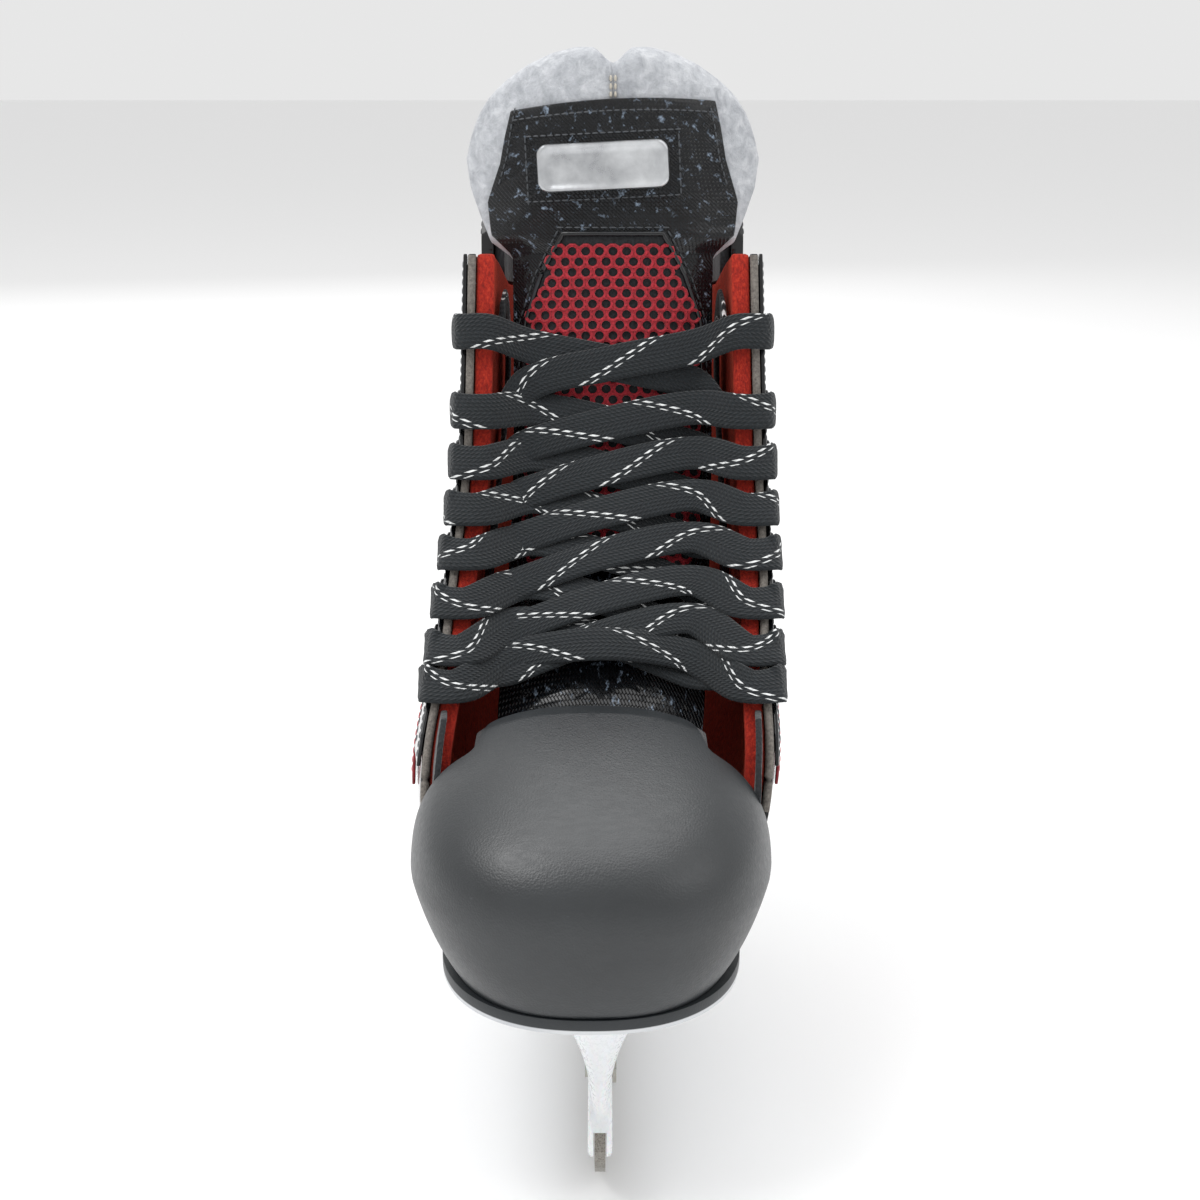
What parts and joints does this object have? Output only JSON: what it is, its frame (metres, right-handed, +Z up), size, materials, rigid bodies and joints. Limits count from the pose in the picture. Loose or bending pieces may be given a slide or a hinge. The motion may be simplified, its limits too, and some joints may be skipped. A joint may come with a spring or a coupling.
{
  "type": "ice hockey skate",
  "caption": "Right-foot ice hockey skate: steel runner in a moulded holder, hard toe cap, laced layered boot, folding tongue top and flexing tendon guard.",
  "frame": {"origin": "on the ice under the middle of the runner, on the runner's centre plane", "axes": "+X to the inner (medial) side of the foot, the toe points to -Y, +Z up"},
  "size_m": [0.1126, 0.28, 0.309],
  "materials": {
    "runner_steel": "ground steel",
    "holder_plastic": "milky translucent moulding",
    "sole_plastic": "satin moulded sole",
    "board": "fibre board",
    "footbed_foam": "covered foam",
    "toe_plastic": "satin moulded cap",
    "liner_textile": "dark textile",
    "quarter_patent": "black patent sheet",
    "red_lining": "brushed red lining",
    "red_accent": "red patent sheet",
    "white_felt": "pressed felt",
    "woven_patent": "coated weave",
    "red_mesh": "spacer mesh",
    "silver_plate": "silver lacquer",
    "lace_cotton": "braided cotton",
    "aglet_plastic": "clear-coated tip",
    "rivet_metal": "pressed metal",
    "eyelet_metal": "black enamel"
  },
  "bodies": {
    "boot": {"runner": "runner_steel", "blade_holder": "holder_plastic", "outsole": "sole_plastic", "runner_bolt_front": "runner_steel", "runner_bolt_rear": "runner_steel", "rivet_front_1": "rivet_metal", "rivet_front_2": "rivet_metal", "rivet_front_3": "rivet_metal", "rivet_front_4": "rivet_metal", "rivet_front_5": "rivet_metal", "rivet_front_6": "rivet_metal", "rivet_rear_1": "rivet_metal", "rivet_rear_2": "rivet_metal", "rivet_rear_3": "rivet_metal", "rivet_rear_4": "rivet_metal", "insole_board": "board", "footbed": "footbed_foam", "toe_cap": "toe_plastic", "toe_liner": "liner_textile", "quarter_lateral": "quarter_patent", "lining_lateral": "red_lining", "facing_lateral": "quarter_patent", "accent_panel_lateral": "red_accent", "eyelet_lateral_1": "eyelet_metal", "eyelet_lateral_2": "eyelet_metal", "eyelet_lateral_3": "eyelet_metal", "eyelet_lateral_4": "eyelet_metal", "eyelet_lateral_5": "eyelet_metal", "eyelet_lateral_6": "eyelet_metal", "eyelet_lateral_7": "eyelet_metal", "eyelet_lateral_8": "eyelet_metal", "quarter_medial": "quarter_patent", "lining_medial": "red_lining", "facing_medial": "quarter_patent", "accent_panel_medial": "red_accent", "eyelet_medial_1": "eyelet_metal", "eyelet_medial_2": "eyelet_metal", "eyelet_medial_3": "eyelet_metal", "eyelet_medial_4": "eyelet_metal", "eyelet_medial_5": "eyelet_metal", "eyelet_medial_6": "eyelet_metal", "eyelet_medial_7": "eyelet_metal", "eyelet_medial_8": "eyelet_metal", "heel_counter": "quarter_patent", "backstay": "quarter_patent", "tongue_felt_lower": "white_felt", "tongue_face_lower": "woven_patent", "mesh_panel": "red_mesh", "lace": "lace_cotton", "aglet_lateral": "aglet_plastic", "aglet_medial": "aglet_plastic"},
    "tongue_top": {"tongue_felt_upper": "white_felt", "tongue_face_upper": "woven_patent", "badge_plate": "silver_plate"},
    "tendon_guard": {"tendon_guard": "quarter_patent", "tendon_guard_pad": "liner_textile"}
  },
  "joints": [
    {"name": "tongue_fold", "type": "hinge", "parent": "boot", "child": "tongue_top", "pos_m": [0.004, 0.0147, 0.2562], "axis": [1, 0, 0], "range_deg": [0, 75], "stiffness_Nm_per_rad": 0.25},
    {"name": "tendon_guard_flex", "type": "hinge", "parent": "boot", "child": "tendon_guard", "pos_m": [0.004, 0.098, 0.2223], "axis": [-1, 0, 0], "range_deg": [0, 20], "stiffness_Nm_per_rad": 1.2}
  ]
}
